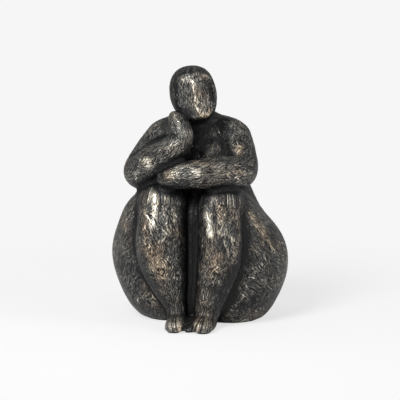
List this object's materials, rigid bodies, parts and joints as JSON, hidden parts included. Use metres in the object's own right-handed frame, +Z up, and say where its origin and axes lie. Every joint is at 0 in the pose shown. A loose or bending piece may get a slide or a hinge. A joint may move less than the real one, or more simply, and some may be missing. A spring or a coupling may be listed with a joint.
{
  "type": "seated figure statue",
  "caption": "Seated abstract figure of a heavy woman thinking: knees drawn up, one arm over them, chin on her hand, aged bronze finish.",
  "frame": {"origin": "on the surface the figure stands on, under its middle, on the underside of the seat's felt", "axes": "+Z up, the figure faces -Y, its right side is towards -X, millimetres in the source and metres in the record"},
  "size_m": [0.1696, 0.1428, 0.2396],
  "materials": {
    "bronze_patina": "cast resin painted dark bronze, dry-brushed pale gold on the raised places",
    "dowel_steel": "plain drawn steel",
    "plug_resin": "bare dark resin",
    "felt": "black adhesive felt"
  },
  "bodies": {
    "root": {"hips_shell": "bronze_patina", "torso_shell": "bronze_patina", "head_casting": "bronze_patina", "right_arm_casting": "bronze_patina", "left_arm_casting": "bronze_patina", "right_leg_casting": "bronze_patina", "left_leg_casting": "bronze_patina", "neck_dowel": "dowel_steel", "right_shoulder_dowel": "dowel_steel", "left_shoulder_dowel": "dowel_steel", "right_knee_dowel": "dowel_steel", "left_knee_dowel": "dowel_steel", "right_shin_dowel": "dowel_steel", "left_shin_dowel": "dowel_steel", "right_waist_dowel": "dowel_steel", "left_waist_dowel": "dowel_steel", "forearm_dowel": "dowel_steel", "base_plug": "plug_resin", "seat_felt": "felt", "right_foot_felt": "felt", "left_foot_felt": "felt"}
  },
  "joints": []
}
